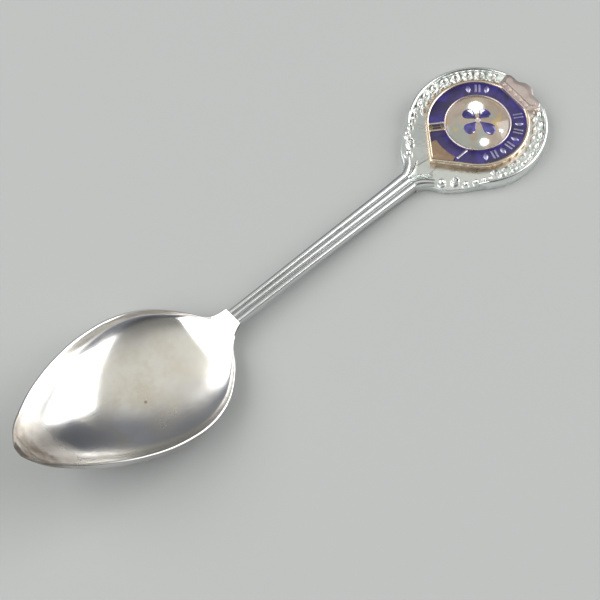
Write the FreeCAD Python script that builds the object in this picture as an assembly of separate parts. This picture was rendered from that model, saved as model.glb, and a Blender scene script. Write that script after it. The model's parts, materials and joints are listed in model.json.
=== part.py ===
import FreeCAD, Part
import math
import os

# Souvenir spoon, millimetres, +Z up, lying face up on a level table.
# The spoon's long axis is X: bowl tip at the low end, badge head at the high end.
# X0 moves the drawing's tip-based lengths so the origin is the bounding box's bottom centre.

V = FreeCAD.Vector

# ---- overall ----
HEAD_X = 100.0          # tip to the head's centre
HEAD_R = 12.65          # head's outside radius
LENGTH = HEAD_X + HEAD_R
TIP_X = 0.20            # first bowl section, just behind the tip
X0 = (LENGTH + TIP_X) / 2.0

# ---- bowl: distance from the tip, half width, rim height, floor height ----
WALL = 0.75
HEEL_X = 42.2
BOWL = [
    (TIP_X, 0.80, 15.40, 15.00),
    (0.60, 1.75, 15.23, 14.25),
    (1.30, 2.95, 14.94, 13.15),
    (2.40, 4.35, 14.48, 11.55),
    (4.20, 5.88, 13.74, 9.37),
    (7.00, 7.95, 12.58, 6.62),
    (10.60, 9.96, 11.10, 4.10),
    (14.50, 11.60, 9.55, 2.30),
    (18.50, 12.75, 8.08, 1.25),
    (22.50, 13.25, 6.76, 0.82),
    (26.00, 13.20, 5.72, 0.76),
    (29.50, 12.35, 4.80, 0.86),
    (32.50, 10.85, 4.05, 1.04),
    (35.00, 8.75, 3.50, 1.30),
    (37.30, 6.15, 3.05, 1.62),
    (38.60, 4.15, 2.90, 1.85),
    (39.80, 2.95, 3.00, 2.05),
    (41.00, 2.30, 3.42, 2.45),
    (HEEL_X, 1.95, 3.92, 2.80),
]
RIM_T = 0.50            # how thin the wall is drawn at the rim
HOLLOW_END = 38.6       # where the hollow runs out in front of the heel

# ---- stem: distance from the tip, top, underside, reed pitch ----
STEM_END = 83.0
STEM = [
    (HEEL_X, 4.12, 2.05, 1.03),
    (46.0, 3.96, 2.15, 1.04),
    (53.0, 3.70, 2.05, 1.07),
    (62.0, 3.40, 1.75, 1.12),
    (72.0, 2.95, 1.15, 1.17),
    (80.0, 2.58, 0.45, 1.24),
    (STEM_END, 2.46, 0.12, 1.29),
]
REED_RISE = 0.52
REED_CROWN = 0.12       # the middle reed stands this much higher
STEM_SIDE = 0.45        # height of the stem's slanted lower side

# ---- head ----
PLATE_T = 1.25
RIM_R = 12.25           # centre line of the smooth outer line
RIM_W = 0.80
RIM_H = 1.15
RIM_GAP = 46.0          # half angle left open on the stem side
RIM_ROUND = 0.28
FORK_H = 1.15
ROW_STEP = 11.5         # angle from one bead to the next
BEADS_A_SIDE = 10       # counted from the far end towards the stem
BEAD_START = 8.0
BEAD_ROW_R = 11.33
BEAD_R = 0.48
BEAD_HALF = 0.42        # a bead is this much longer than round, each way
BEAD_H = 0.95
LEAVES_A_SIDE = 10
LEAF_START = 13.5
LEAF_ROW_R = 10.22
LEAF_LONG = 0.82
LEAF_HALF = 0.46
LEAF_H = 0.85
SCROLL_ANGLE = 27.0     # scrolls sit this far from the stem on each side
SCROLL_REACH = 12.50
SCROLL_R = 0.95
SCROLL_H = 1.00
KNOBS = [(13.75, 17.8, 0.82, 1.15), (12.70, 35.5, 0.68, 1.10), (12.00, 43.7, 0.62, 1.02),
         (11.60, 50.5, 0.52, 0.96), (11.40, 56.5, 0.46, 0.90)]

# outline of the shoulder, stem side first, and the two edges of a fork reed
SHOULDER = [(STEM_END, 1.97), (83.70, 2.25), (84.30, 2.70), (84.85, 3.25), (85.35, 3.95), (85.80, 4.75),
            (86.50, 5.70), (87.60, 6.70), (89.00, 7.75), (90.60, 8.80), (92.20, 9.75)]
FORK_INNER = [(STEM_END, 0.05), (84.00, 0.12), (84.90, 0.45), (85.80, 0.95), (86.60, 1.45),
              (87.10, 2.00)]
FORK_OUTER = [(85.55, 3.90), (85.20, 3.40), (84.70, 2.85), (84.15, 2.40), (83.60, 2.08), (STEM_END, 1.93)]

# ---- badge ----
BADGE_R = 9.35
BADGE_T = 0.90
CORNER = 11.85          # badge's pointed corner, measured from the head's centre
EDGE_W = 0.60
EDGE_H = 0.62
DISC_R = 5.72
RING_W = 0.32
ENAMEL_H = 0.46
FIELD_RISE = 0.95
FIELD_FOOT = 0.28       # straight side under the dome
INLAY_T = 0.62          # the flower starts this far above the badge plate
BOSS_R = 0.62
ORNAMENTS = 15
ORNAMENT_START = 122.0  # first ornament on the band, from the stem
ORNAMENT_STEP = 13.0
CROWN_CLEAR = 31.0      # half angle kept free of ornaments at the coronet
ORNAMENT_H = 0.56
ORNAMENT_BAR = (1.70, 0.42)
ORNAMENT_LEAF = (0.62, 0.88)
BUCKLE_ANGLE = 36.0     # buckle's place on the band, from the stem
BUCKLE = (2.50, 1.90)
BUCKLE_HOLE = (1.50, 1.00)
BUCKLE_H = 0.60
TONGUE_W = 0.34
KEEPER_ANGLE = -23.0
KEEPER = (2.40, 0.50)
KEEPER_H = 0.58
TAIL_SPAN = 17.0        # half angle of the band left for the tail at the corner
TAIL_IN = 8.30
CROWN_HALF = 4.60
CROWN_IN = 8.30
CROWN_OUT = 12.60
CROWN_H = 1.75
CROWN_WALL = 0.55
CROWN_FILL = 0.27
CROWN_SINK = 0.35       # depth of the enamel's pocket
PEARL_R = 0.38
PEARL_H = 0.42
CROWN_TURN = -4.5       # the coronet sits a little round from the far end
PETALS = [(0, 2.80), (90, 3.10), (180, 3.20), (270, 3.80)]
PETAL_TIP = 1.02
PETAL_TURN = 6.0
PETAL_ROOT = (0.30, 0.16)

# tall and wide enough to cut right through any part of the head
CUT_H = 6.0
CUT_R = 30.0


def make(name, shape):
    shape = shape.copy()
    shape.translate(V(-X0, 0, 0))
    box = shape.BoundBox
    print(name, len(shape.Solids), round(shape.Volume, 3), shape.isValid(),
          [round(v, 2) for v in (box.XMin, box.XMax, box.YMin, box.YMax, box.ZMin, box.ZMax)])
    shape.exportStep("parts/" + name + ".step")


def section(x, half, top, low, lift):
    """Closed U-shaped section across the bowl: a flat lid and a full rounded belly."""
    pts = []
    n = 13
    for i in range(n):
        a = math.pi * i / (n - 1)
        y = -half * math.cos(a)
        z = top - (top - low) * math.pow(math.sin(a), 0.92)
        pts.append(V(x, y, z))
    curve = Part.BSplineCurve()
    curve.interpolate(pts)
    edges = [curve.toShape()]
    a = pts[-1]
    b = pts[0]
    if lift > 0:
        c = V(x, half, top + lift)
        d = V(x, -half, top + lift)
        edges.append(Part.makeLine(a, c))
        edges.append(Part.makeLine(c, d))
        edges.append(Part.makeLine(d, b))
    else:
        edges.append(Part.makeLine(a, b))
    return Part.Wire(edges)


def lerp(table, x):
    for p, q in zip(table, table[1:]):
        if p[0] <= x <= q[0]:
            t = (x - p[0]) / (q[0] - p[0])
            return [a + (b - a) * t for a, b in zip(p[1:], q[1:])]
    return list(table[-1][1:])


def bowl():
    outer = []
    for x, half, top, low in BOWL:
        outer.append(section(x, half, top, max(low - WALL, 0.0), 0))
    body = Part.makeLoft(outer, True, False)
    inner = []
    for x, half, top, low in BOWL[1:-4]:
        inner.append(section(x, half - RIM_T, top, low, 6.0))
    top = lerp(BOWL, HOLLOW_END)[1]
    inner.append(section(HOLLOW_END, 3.1, top, top - 0.6, 6.0))
    hollow = Part.makeLoft(inner, True, False)
    return body.cut(hollow)


def stem():
    """Three reeds on a flat-backed bar, one section per station."""
    wires = []
    for x, top, low, pitch in STEM:
        half = pitch * 1.5
        base = top - REED_RISE
        pts = [V(x, -half, low + STEM_SIDE), V(x, -half, base)]
        for k in (-1, 0, 1):
            crown = REED_CROWN if k == 0 else 0.0
            for step in range(5):
                a = math.pi * (1 - (step + 0.5) / 5.0)
                y = k * pitch + pitch * 0.5 * math.cos(a)
                pts.append(V(x, y, base + (REED_RISE + crown) * math.sin(a)))
            if k < 1:
                pts.append(V(x, (k + 0.5) * pitch, base - 0.10))
        pts.append(V(x, half, base))
        pts.append(V(x, half, low + STEM_SIDE))
        pts.append(V(x, half * 0.62, low))
        pts.append(V(x, -half * 0.62, low))
        pts.append(pts[0])
        wires.append(Part.makePolygon(pts))
    return Part.makeLoft(wires, True, True)


def disc(r, z, h):
    return Part.makeCylinder(r, h, V(HEAD_X, 0, z))


def ring(r, w, z, h):
    return disc(r + w / 2.0, z, h).cut(disc(r - w / 2.0, z - 1, h + 2))


def teardrop(r, corner, z, h):
    """Round plate with one pointed corner towards the stem, its sides tangent to the circle."""
    a = math.acos(r / corner)
    p1 = V(HEAD_X - r * math.cos(a), r * math.sin(a), z)
    p2 = V(HEAD_X - r * math.cos(a), -r * math.sin(a), z)
    tip = V(HEAD_X - corner, 0, z)
    arc = Part.Arc(p1, V(HEAD_X + r, 0, z), p2).toShape()
    wire = Part.Wire([Part.makeLine(tip, p1), arc, Part.makeLine(p2, tip)])
    return Part.Face(wire).extrude(V(0, 0, h))


def wedge(half_deg):
    """Cutter open towards the stem by half_deg each side."""
    c = CUT_R * math.cos(math.radians(half_deg))
    s = CUT_R * math.sin(math.radians(half_deg))
    return prism([V(HEAD_X, 0, 0), V(HEAD_X - c, s, 0), V(HEAD_X - CUT_R, 0, 0), V(HEAD_X - c, -s, 0)], 0,
                 CUT_H)


def turned(shape, deg):
    shape = shape.copy()
    shape.rotate(V(HEAD_X, 0, 0), V(0, 0, 1), deg)
    return shape


def dome(r, h):
    """Half of a ball squashed to height h, with its flat side at z 0."""
    big = (r * r + h * h) / (2.0 * h)
    ball = Part.makeSphere(big, V(0, 0, h - big))
    return ball.common(Part.makeCylinder(r * 1.01, h + 0.01, V(0, 0, 0)))


def bar(middle, size, z, h, deg):
    b = Part.makeBox(size[0], size[1], h, V(middle.x - size[0] / 2.0, middle.y - size[1] / 2.0, z))
    b.rotate(middle, V(0, 0, 1), deg)
    return b


def polar(r, deg, z=0.0):
    """Point at radius r, deg round from the stem side, left side positive."""
    a = math.radians(deg)
    return V(HEAD_X - r * math.cos(a), r * math.sin(a), z)


def prism(pts, z, h):
    pts = [V(p.x, p.y, z) for p in pts]
    pts.append(pts[0])
    return Part.Face(Part.makePolygon(pts)).extrude(V(0, 0, h))


def fork_reed(side):
    """Outer reed and half of the middle one, carried on round the shoulder of the head."""
    inner = [V(x, side * y, TOP) for x, y in FORK_INNER]
    outer = [V(x, side * y, TOP) for x, y in FORK_OUTER]
    a = Part.BSplineCurve()
    a.interpolate(inner)
    b = Part.BSplineCurve()
    b.interpolate(outer)
    wire = Part.Wire([a.toShape(), Part.makeLine(inner[-1], outer[0]), b.toShape(),
                      Part.makeLine(outer[-1], inner[0])])
    return Part.Face(wire).extrude(V(0, 0, FORK_H))


def row(start, count, radius, one):
    """The same piece at even steps down both sides, starting from the far end."""
    shapes = []
    for i in range(count):
        for side in (1, -1):
            piece = one.copy()
            piece.translate(V(HEAD_X + radius, 0, TOP))
            shapes.append(turned(piece, side * (start + i * ROW_STEP)))
    return Part.makeCompound(shapes)


def pill(r, half, h):
    """Bead drawn out to both sides: a round-topped bar with a dome at each end."""
    big = (r * r + h * h) / (2.0 * h)
    log = Part.makeCylinder(big, 2.0 * half, V(0, -half, h - big), V(0, 1, 0))
    log = log.common(Part.makeBox(2.0 * r, 2.0 * half, h + 1.0, V(-r, -half, 0)))
    ends = []
    for side in (1, -1):
        end = dome(r, h)
        end.translate(V(0, side * half, 0))
        ends.append(end)
    return log.fuse(ends[0]).fuse(ends[1]).removeSplitter()


def leaf(half, length, height):
    pts = [V(-half, 0, 0), V(0, -length, 0), V(half, 0, 0), V(0, length, 0), V(-half, 0, 0)]
    high = [V(p.x * 0.35, p.y * 0.35, height) for p in pts]
    return Part.makeLoft([Part.makePolygon(pts), Part.makePolygon(high)], True, True)


def coronet(inset, z, h):
    """Three-pointed coronet outline drawn in from its edge by inset, as an upright prism."""
    low = CROWN_IN + (1.25 if inset > 0 else 0.0)
    side = CROWN_HALF - inset * 1.3
    dip = CROWN_OUT - 2.05 - inset * 1.3
    half = [V(HEAD_X + low, side * 0.84, 0), V(HEAD_X + CROWN_OUT - 1.90 - inset, side, 0),
            V(HEAD_X + dip, side * 0.50, 0)]
    pts = [V(p.x, -p.y, 0) for p in half]
    pts.append(V(HEAD_X + CROWN_OUT - inset * 2.2, 0, 0))
    pts.extend(reversed(half))
    return turned(prism(pts, z, h), CROWN_TURN)


def scroll(side):
    """Spiral hook beside the shoulder, with a small cluster of beads leading into the rim."""
    c = polar(SCROLL_REACH, side * SCROLL_ANGLE, TOP)
    body = Part.makeCylinder(SCROLL_R, SCROLL_H, c)
    body = body.cut(Part.makeCylinder(SCROLL_R * 0.55, CUT_H, V(c.x, c.y, 0)))
    shapes = [body]
    knobs = [(c, SCROLL_R * 0.50, 1.05)]
    for reach, deg, r, h in KNOBS:
        knobs.append((polar(reach, side * deg, TOP), r, h))
    for at, r, h in knobs:
        d = dome(r, h)
        d.translate(at)
        shapes.append(d)
    return Part.makeCompound(shapes)


os.makedirs("parts", exist_ok=True)

# ---- bowl and stem ----
the_bowl = bowl()
make("bowl", the_bowl)
make("stem", stem())

# ---- head plate and its applied silver ornament ----
TOP = PLATE_T
BASE = TOP + BADGE_T
shoulder = [V(x, y, 0) for x, y in SHOULDER]
shoulder += [V(x, -y, 0) for x, y in reversed(SHOULDER)]
plate = disc(HEAD_R, 0, PLATE_T).fuse(prism(shoulder, 0, PLATE_T)).removeSplitter()
make("head_plate", plate)

crown_room = coronet(0.0, 0, CUT_H)

rim = ring(RIM_R, RIM_W, TOP, RIM_H).cut(wedge(RIM_GAP))
lip = [e for e in rim.Edges if abs(e.BoundBox.ZMin - TOP - RIM_H) < 1e-4 and e.Length > 20]
rim = rim.makeFillet(RIM_ROUND, lip)
rim = rim.cut(crown_room)
make("outer_bead_line", rim)
make("fork_reed_left", fork_reed(1))
make("fork_reed_right", fork_reed(-1))
beads = row(BEAD_START, BEADS_A_SIDE, BEAD_ROW_R, pill(BEAD_R, BEAD_HALF, BEAD_H))
make("outer_bead_row", beads.cut(crown_room))
leaves = row(LEAF_START, LEAVES_A_SIDE, LEAF_ROW_R, leaf(LEAF_HALF, LEAF_LONG, LEAF_H))
make("leaf_row", leaves.cut(crown_room))
left = scroll(1).cut(rim).cut(fork_reed(1))
right = scroll(-1).cut(rim).cut(fork_reed(-1))
make("scroll_left", left)
make("scroll_right", right)

# ---- badge: gilt base with raised walls ----
badge = teardrop(BADGE_R, CORNER, TOP, BADGE_T)
make("badge_base", badge)
inside = teardrop(BADGE_R - EDGE_W, CORNER * (BADGE_R - EDGE_W) / BADGE_R, 0, CUT_H)
edge = teardrop(BADGE_R, CORNER, BASE, EDGE_H).cut(inside).cut(crown_room)
make("badge_edge", edge)
inner_ring = ring(DISC_R + RING_W / 2.0, RING_W, BASE, EDGE_H)
make("inner_ring", inner_ring)

# ---- band between the two walls, with its ornaments, buckle and tail ----
middle = disc(DISC_R + RING_W, 0, CUT_H)
channel = inside.common(disc(CUT_R, BASE, ENAMEL_H)).cut(middle).cut(crown_room)
tail_room = wedge(TAIL_SPAN).cut(disc(TAIL_IN, 0, CUT_H))
tail = channel.common(tail_room)
make("strap_tail", tail)
band = channel.cut(tail_room)
mid = (DISC_R + RING_W + BADGE_R - EDGE_W) / 2.0
ornaments = []
for k in range(ORNAMENTS):
    deg = ORNAMENT_START + k * ORNAMENT_STEP
    p = polar(mid, deg)
    if abs(deg - 180.0) < CROWN_CLEAR:
        continue
    if k % 2 == 0:
        lozenge = leaf(*ORNAMENT_LEAF, ORNAMENT_H)
        lozenge.rotate(V(0, 0, 0), V(0, 0, 1), 180.0 - deg)
        lozenge.translate(V(p.x, p.y, BASE))
        ornaments.append(lozenge)
    else:
        ornaments.append(bar(p, ORNAMENT_BAR, BASE, ORNAMENT_H, 180.0 - deg))
ornaments = Part.makeCompound(ornaments)
make("band_ornaments", ornaments)
p = polar(mid, BUCKLE_ANGLE)
turn = 180.0 - BUCKLE_ANGLE
hole = bar(p, BUCKLE_HOLE, 0, CUT_H, turn)
buckle = bar(p, BUCKLE, BASE, BUCKLE_H, turn).cut(hole).common(inside).cut(middle)
tongue = bar(p, (TONGUE_W, BUCKLE_HOLE[1]), BASE, BUCKLE_H, turn)
make("buckle_frame", buckle)
make("buckle_tongue", tongue)
p = polar(mid, KEEPER_ANGLE)
loop = bar(p, KEEPER, BASE, KEEPER_H, 180.0 - KEEPER_ANGLE)
make("keeper_loop", loop)
make("band_enamel", band.cut(ornaments).cut(buckle).cut(tongue).cut(loop))

# ---- domed centre field with a four-petal flower ----
field = dome(DISC_R, FIELD_RISE)
field.translate(V(HEAD_X, 0, BASE + FIELD_FOOT))
field = field.fuse(disc(DISC_R, BASE, FIELD_FOOT)).removeSplitter()
petals = []
for deg, length in PETALS:
    tip_x = HEAD_X + length - PETAL_TIP
    tip = Part.makeCylinder(PETAL_TIP, CUT_H, V(tip_x, 0, 0))
    root_x = HEAD_X + PETAL_ROOT[0]
    root = prism([V(root_x, -PETAL_ROOT[1], 0), V(tip_x + 0.1, -PETAL_TIP * 0.98, 0),
                  V(tip_x + 0.1, PETAL_TIP * 0.98, 0), V(root_x, PETAL_ROOT[1], 0)], 0, CUT_H)
    petals.append(turned(tip.fuse(root), deg + PETAL_TURN))
boss_room = disc(BOSS_R, 0, CUT_H)
petal_room = petals[0]
for one in petals[1:]:
    petal_room = petal_room.fuse(one)
petal_room = petal_room.cut(boss_room)
slab = disc(CUT_R, BASE + INLAY_T, CUT_H)
flower = field.common(petal_room).common(slab)
boss = field.common(boss_room).common(slab)
make("flower_petals", flower)
make("flower_centre", boss)
make("centre_field", field.cut(flower).cut(boss))

# ---- coronet at the far end ----
crown = coronet(0.0, TOP, CROWN_H).cut(badge)
pocket = TOP + CROWN_H - CROWN_SINK
make("coronet_frame", crown.cut(coronet(CROWN_WALL, pocket, CUT_H)))
make("coronet_enamel", coronet(CROWN_WALL, pocket, CROWN_FILL))
pearls = []
for k in range(-2, 3):
    one = dome(PEARL_R, PEARL_H)
    one.translate(V(HEAD_X + CROWN_IN + 0.60, k * CROWN_HALF * 0.32, TOP + CROWN_H))
    pearls.append(turned(one, CROWN_TURN))
make("coronet_pearls", Part.makeCompound(pearls))
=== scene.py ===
import json
import math

import bmesh
import bpy
from mathutils import Matrix, Vector

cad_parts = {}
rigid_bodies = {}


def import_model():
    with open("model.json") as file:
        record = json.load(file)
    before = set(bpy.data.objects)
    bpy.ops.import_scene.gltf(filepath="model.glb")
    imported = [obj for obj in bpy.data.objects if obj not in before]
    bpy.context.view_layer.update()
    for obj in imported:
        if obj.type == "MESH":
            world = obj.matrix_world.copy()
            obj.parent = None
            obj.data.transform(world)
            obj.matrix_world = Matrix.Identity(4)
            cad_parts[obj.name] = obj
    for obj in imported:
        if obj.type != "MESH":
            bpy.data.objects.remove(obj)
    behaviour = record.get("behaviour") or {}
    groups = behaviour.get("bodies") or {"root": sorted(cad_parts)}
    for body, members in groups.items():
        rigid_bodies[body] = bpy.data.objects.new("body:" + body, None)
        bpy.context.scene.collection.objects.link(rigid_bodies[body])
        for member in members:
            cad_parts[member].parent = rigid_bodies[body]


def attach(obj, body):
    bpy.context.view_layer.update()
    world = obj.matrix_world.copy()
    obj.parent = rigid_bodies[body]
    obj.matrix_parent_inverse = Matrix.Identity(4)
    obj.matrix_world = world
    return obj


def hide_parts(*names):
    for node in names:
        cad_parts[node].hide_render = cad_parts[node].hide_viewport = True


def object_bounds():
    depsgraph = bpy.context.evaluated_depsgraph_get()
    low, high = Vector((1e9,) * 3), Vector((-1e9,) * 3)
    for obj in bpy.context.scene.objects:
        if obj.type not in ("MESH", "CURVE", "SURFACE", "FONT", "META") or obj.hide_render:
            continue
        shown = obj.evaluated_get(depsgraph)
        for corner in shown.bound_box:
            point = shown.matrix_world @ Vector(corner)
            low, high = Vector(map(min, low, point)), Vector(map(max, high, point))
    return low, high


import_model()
CAD_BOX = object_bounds()

# Souvenir spoon: silver bowl, reeded stem and beaded head with an enamelled badge.
# Lengths are millimetres. Distances along the spoon start at the bowl's tip and heights
# at the table, and at() turns them into the frame's metres. Angles are degrees.

MM = 0.001
SIDES = {1: "left", -1: "right"}
WELD = 1e-7
TIP_X = 0.20
LOW = Vector(CAD_BOX[0])
X0 = TIP_X - LOW.x / MM
HEAD_X = 100.0


def at(x, y, z):
    return Vector(((x - X0) * MM, y * MM, z * MM))


# ------------------------------------------------------------------ driving sizes

HEEL_X = 42.20
STEM_END = 83.0

# distance from the tip, half width, rim height, floor height
BOWL = [
    (TIP_X, 0.80, 15.40, 15.00),
    (0.60, 1.75, 15.23, 14.25),
    (1.30, 2.95, 14.94, 13.15),
    (2.40, 4.35, 14.48, 11.55),
    (4.20, 5.88, 13.74, 9.37),
    (7.00, 7.95, 12.58, 6.62),
    (10.60, 9.96, 11.10, 4.10),
    (14.50, 11.60, 9.55, 2.30),
    (18.50, 12.75, 8.08, 1.25),
    (22.50, 13.25, 6.76, 0.82),
    (26.00, 13.20, 5.72, 0.76),
    (29.50, 12.35, 4.80, 0.86),
    (32.50, 10.85, 4.05, 1.04),
    (35.00, 8.75, 3.50, 1.30),
    (37.30, 6.15, 3.05, 1.62),
    (38.60, 4.15, 2.90, 1.85),
    (39.80, 2.95, 3.00, 2.05),
    (41.00, 2.30, 3.42, 2.45),
    (HEEL_X, 1.95, 3.92, 2.80),
]
WALL = 0.75
RIM_T = 0.50
RIM_CROWN = 0.13
# power of the bowl's cross-section: 1 is a half ellipse, and less is fuller
FULLNESS = 0.92
# extra wall at the tip, the length that it fades out over, and where the hollow starts and ends
NOSE_T = 0.45
NOSE_REACH = 6.0
NOSE_FADE = (0.6, 2.2)
HEEL_FADE = (35.0, 40.4)

# distance from the tip, top, underside, reed pitch
STEM = [
    (HEEL_X, 4.12, 2.05, 1.03),
    (46.0, 3.96, 2.15, 1.04),
    (53.0, 3.70, 2.05, 1.07),
    (62.0, 3.40, 1.75, 1.12),
    (72.0, 2.95, 1.15, 1.17),
    (80.0, 2.58, 0.45, 1.24),
    (STEM_END, 2.46, 0.12, 1.29),
]
REED_RISE = 0.44
MIDDLE_REED_EXTRA = 0.12
GROOVE_DROP = 0.12
UNDER_ROUND = 0.45
STEM_TOP_END = STEM[-1][1]

PLATE_T = 1.25
HEAD_R = 12.65
RIM_R = 12.25
RIM_W = 0.84
RIM_H = 1.13
RIM_GAP = 46.0
# the raised line starts at this part of its full size and grows over a few steps
RIM_START = 0.45
RIM_START_STEPS = 5

# two rows of ornament with the same step; a leaf's size is its length, width and height
ROW_STEP = 11.5
BEADS_A_SIDE = 10
BEAD_START = 8.0
BEAD_ROW_R = 11.33
BEAD_R = 0.58
BEAD_H = 0.98
BEAD_STRETCH = 1.66
LEAVES_A_SIDE = 10
LEAF_START = 13.5
LEAF_ROW_R = 10.22
LEAF = (1.76, 1.06, 0.86)
LEAF_LEAN = 14

SCROLL_ANGLE = 27.0
SCROLL_REACH = 12.50
SCROLL_R = 0.95
SCROLL_TURNS = 1.3
SCROLL_START = 215
SCROLL_BEAD = (0.30, 1.12)
# distance from the head's centre, angle from the stem side, radius, height
KNOBS = [(13.75, 17.8, 0.82, 1.15), (12.70, 35.5, 0.68, 1.10), (12.00, 43.7, 0.62, 1.02),
         (11.60, 50.5, 0.52, 0.96), (11.40, 56.5, 0.46, 0.90)]
# one side of the outline, and the plan lines of the reeds that fork round the badge
SHOULDER = [(STEM_END, 1.97), (83.70, 2.25), (84.30, 2.70), (84.85, 3.25), (85.35, 3.95),
            (85.80, 4.75), (86.50, 5.70), (87.60, 6.70), (89.00, 7.75), (90.60, 8.80), (92.20, 9.75)]
FORK_OUT = [(STEM_END, 1.29), (83.60, 1.46), (84.30, 1.86), (84.95, 2.40), (85.50, 2.95), (85.95, 3.45)]
FORK_IN = [(STEM_END, 0.36), (84.00, 0.42), (84.80, 0.70), (85.60, 1.18), (86.30, 1.62), (86.85, 1.98)]
# plan line, width at the stem, width at the far end, extra height, fall towards the far end
FORK_REEDS = [(FORK_OUT, 1.29, 0.95, 0.0, 0.16), (FORK_IN, 0.62, 0.34, 0.06, 0.62)]
FORK_LIFT_LOSS = 0.45

BADGE_R = 9.35
CORNER = 11.85
BADGE_T = 0.90
BASE = PLATE_T + BADGE_T
EDGE_W = 0.60
EDGE_H = 0.62
DISC_R = 5.72
RING_W = 0.32
BAND_MID = (DISC_R + RING_W + BADGE_R - EDGE_W) / 2
ENAMEL_H = 0.46
FIELD_FOOT = 0.28
FIELD_RISE = 0.95
TAIL_IN = 8.30
TAIL_SPAN = 17.0
ORNAMENTS = 15
ORNAMENT_START = 122.0
ORNAMENT_STEP = 13.0
CROWN_CLEAR = 31.0
FIGURE_LEAF = (1.75, 1.20, 0.26)
FIGURE_BAR = (1.70, 0.34)
FIGURE_BAR_OFF = 0.34

# buckle parts: length across the band and width round it, standing on BUCKLE_Z
BUCKLE_ANGLE = 36.0
BUCKLE_Z = BASE + 0.2
BUCKLE_BAR = (2.70, 0.50)
BUCKLE_BAR_OFF = 0.72
BUCKLE_END = (0.50, 1.05)
BUCKLE_END_OFF = 1.0
BUCKLE_TONGUE = (1.6, 0.30)
KEEPER_ANGLE = -23.0
KEEPER = (2.50, 0.46)
KEEPER_TURN = -22

CROWN_HALF = 4.60
CROWN_IN = 8.30
CROWN_OUT = 12.60
CROWN_H = 1.75
CROWN_FOOT = 1.25
CROWN_RAIL = (0.28, CROWN_HALF * 1.58)
CROWN_TURN = -4.5
CROWN_SPAN = 24.5
CROWN_FROM = 180 - CROWN_TURN - CROWN_SPAN
CROWN_TO = 180 - CROWN_TURN + CROWN_SPAN

# direction and reach of each petal, then what they share
PETALS = [(0, 2.80), (90, 3.10), (180, 3.20), (270, 3.80)]
PETAL_TURN = 6.0
PETAL_ROOT = 0.34
PETAL_ROOT_HALF = 0.14
PETAL_SPREAD = 1.10
PETAL_WIDEST = 0.62
PETAL_RISE = 0.08


# ------------------------------------------------------------------ small mesh kit

def smooth_table(table, x):
    """Value of each column at x, by a smooth cubic through the rows."""
    if x <= table[0][0]:
        return list(table[0][1:])
    if x >= table[-1][0]:
        return list(table[-1][1:])
    i = max(k for k in range(len(table) - 1) if table[k][0] <= x)
    p, q = table[i], table[i + 1]
    h = q[0] - p[0]
    t = (x - p[0]) / h
    out = []
    for c in range(1, len(p)):
        out.append(_hermite(table, i, c, h, t))
    return out


def _slope(table, i, c):
    if i == 0:
        return (table[1][c] - table[0][c]) / (table[1][0] - table[0][0])
    if i == len(table) - 1:
        return (table[i][c] - table[i - 1][c]) / (table[i][0] - table[i - 1][0])
    h0 = table[i][0] - table[i - 1][0]
    h1 = table[i + 1][0] - table[i][0]
    d0 = (table[i][c] - table[i - 1][c]) / h0
    d1 = (table[i + 1][c] - table[i][c]) / h1
    return (d0 * h1 + d1 * h0) / (h0 + h1)


def _hermite(table, i, c, h, t):
    m0 = _slope(table, i, c) * h
    m1 = _slope(table, i + 1, c) * h
    a = table[i][c]
    b = table[i + 1][c]
    t2 = t * t
    t3 = t2 * t
    return (2 * t3 - 3 * t2 + 1) * a + (t3 - 2 * t2 + t) * m0 + (3 * t2 - 2 * t3) * b + (t3 - t2) * m1


class Build:
    """Collects vertices and faces for one piece, in millimetres from the tip."""

    def __init__(self):
        self.verts = []
        self.faces = []

    def rings(self, rings, cap_start=False, cap_end=False, closed=False):
        """Skin over a row of closed rings; closed joins the last ring to the first."""
        base = len(self.verts)
        n = len(rings[0])
        for ring in rings:
            self.verts.extend(ring)
        rows = len(rings)
        for r in range(rows if closed else rows - 1):
            a = base + r * n
            b = base + ((r + 1) % rows) * n
            for k in range(n):
                k2 = (k + 1) % n
                self.faces.append((a + k, a + k2, b + k2, b + k))
        if cap_start:
            self.fan(base, rings[0], False)
        if cap_end:
            self.fan(base + (rows - 1) * n, rings[-1], True)

    def fan(self, start, ring, flip):
        """Cap over a ring whose points begin at start."""
        n = len(ring)
        centre = tuple(sum(p[i] for p in ring) / n for i in range(3))
        self.verts.append(centre)
        c = len(self.verts) - 1
        for k in range(n):
            k2 = (k + 1) % n
            face = (start + k, start + k2, c)
            self.faces.append(face[::-1] if flip else face)

    def make(self, name, material, node, sharp):
        """Finished piece on the spoon's one body, in place of a CAD node."""
        mesh = bpy.data.meshes.new(name)
        mesh.from_pydata([at(*v) for v in self.verts], [], self.faces)
        mesh.validate()
        clean(mesh)
        for face in mesh.polygons:
            face.use_smooth = True
        mesh.set_sharp_from_angle(angle=math.radians(sharp))
        mesh.materials.append(material)
        obj = place_in_scene(name, mesh)
        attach(obj, "root")
        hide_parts(node)


def place_in_scene(name, data):
    obj = bpy.data.objects.new(name, data)
    bpy.context.scene.collection.objects.link(obj)
    return obj


def clean(mesh):
    """Weld points that coincide and turn every face outwards."""
    bm = bmesh.new()
    bm.from_mesh(mesh)
    bmesh.ops.remove_doubles(bm, verts=bm.verts, dist=WELD)
    bmesh.ops.recalc_face_normals(bm, faces=bm.faces)
    bm.to_mesh(mesh)
    bm.free()


def polar(r, deg):
    """Point at radius r on the head, deg round from the stem side, left side positive."""
    a = math.radians(deg)
    return HEAD_X - r * math.cos(a), r * math.sin(a)


def off_axis(deg):
    """Degrees from the stem side, whichever way round is shorter."""
    return abs((deg + 180) % 360 - 180)


def turned(x, y, u, v, deg):
    """Plan point (u, v) turned by deg and then moved to (x, y)."""
    a = math.radians(deg)
    c, s = math.cos(a), math.sin(a)
    return x + u * c - v * s, y + u * s + v * c


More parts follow.
